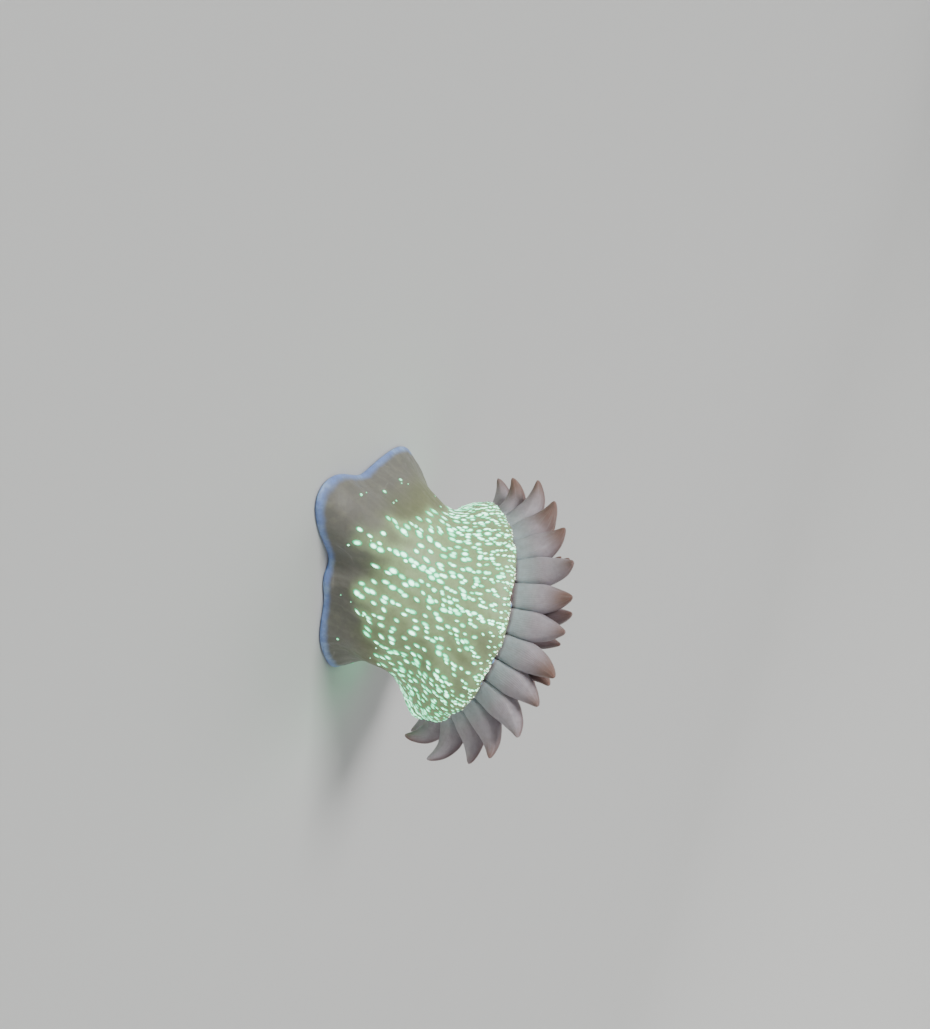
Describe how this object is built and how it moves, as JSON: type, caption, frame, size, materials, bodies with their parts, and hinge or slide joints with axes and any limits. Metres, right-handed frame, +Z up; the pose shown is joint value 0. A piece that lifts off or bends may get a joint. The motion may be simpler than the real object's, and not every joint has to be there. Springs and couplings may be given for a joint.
{
  "type": "beadlet anemone",
  "caption": "Beadlet anemone, life size and still: a squat spotted column leaning over on a flat lobed foot, with a beaded collar and open rings of tapering tentacles.",
  "frame": {"origin": "the middle of the sole, on the floor; it stays clear of the foot's lobe, which reaches out towards -Y", "axes": "+Z up out of the floor, +Y the way the column leans, +X to the right of that as seen from behind the lean, from -Y"},
  "size_m": [0.0607, 0.0674, 0.0465],
  "materials": {
    "limbus": "moist satin, sky-blue edge line",
    "column": "moist satin, olive grey with mint-green spots, blue beads inside the collar",
    "oral_disc": "moist satin, mauve brown",
    "lips": "moist satin, red brown",
    "tentacles": "moist satin, mauve grey"
  },
  "bodies": {
    "root": {"foot": "limbus", "column_lower": "column", "column_upper": "column", "collar": "column", "oral_disc": "oral_disc", "lips": "lips", "tentacle_outer_01": "tentacles", "tentacle_outer_02": "tentacles", "tentacle_outer_03": "tentacles", "tentacle_outer_04": "tentacles", "tentacle_outer_05": "tentacles", "tentacle_outer_06": "tentacles", "tentacle_outer_07": "tentacles", "tentacle_outer_08": "tentacles", "tentacle_outer_09": "tentacles", "tentacle_outer_10": "tentacles", "tentacle_outer_11": "tentacles", "tentacle_outer_12": "tentacles", "tentacle_outer_13": "tentacles", "tentacle_outer_14": "tentacles", "tentacle_outer_15": "tentacles", "tentacle_outer_16": "tentacles", "tentacle_outer_17": "tentacles", "tentacle_outer_18": "tentacles", "tentacle_outer_19": "tentacles", "tentacle_outer_20": "tentacles", "tentacle_outer_21": "tentacles", "tentacle_outer_22": "tentacles", "tentacle_outer_23": "tentacles", "tentacle_outer_24": "tentacles", "tentacle_middle_01": "tentacles", "tentacle_middle_02": "tentacles", "tentacle_middle_03": "tentacles", "tentacle_middle_04": "tentacles", "tentacle_middle_05": "tentacles", "tentacle_middle_06": "tentacles", "tentacle_middle_07": "tentacles", "tentacle_middle_08": "tentacles", "tentacle_middle_09": "tentacles", "tentacle_middle_10": "tentacles", "tentacle_middle_11": "tentacles", "tentacle_middle_12": "tentacles", "tentacle_inner_01": "tentacles", "tentacle_inner_02": "tentacles", "tentacle_inner_03": "tentacles", "tentacle_inner_04": "tentacles", "tentacle_inner_05": "tentacles", "tentacle_inner_06": "tentacles", "tentacle_inner_07": "tentacles", "tentacle_inner_08": "tentacles", "tentacle_inner_09": "tentacles", "tentacle_inner_10": "tentacles", "tentacle_inner_11": "tentacles", "tentacle_inner_12": "tentacles"}
  },
  "joints": []
}
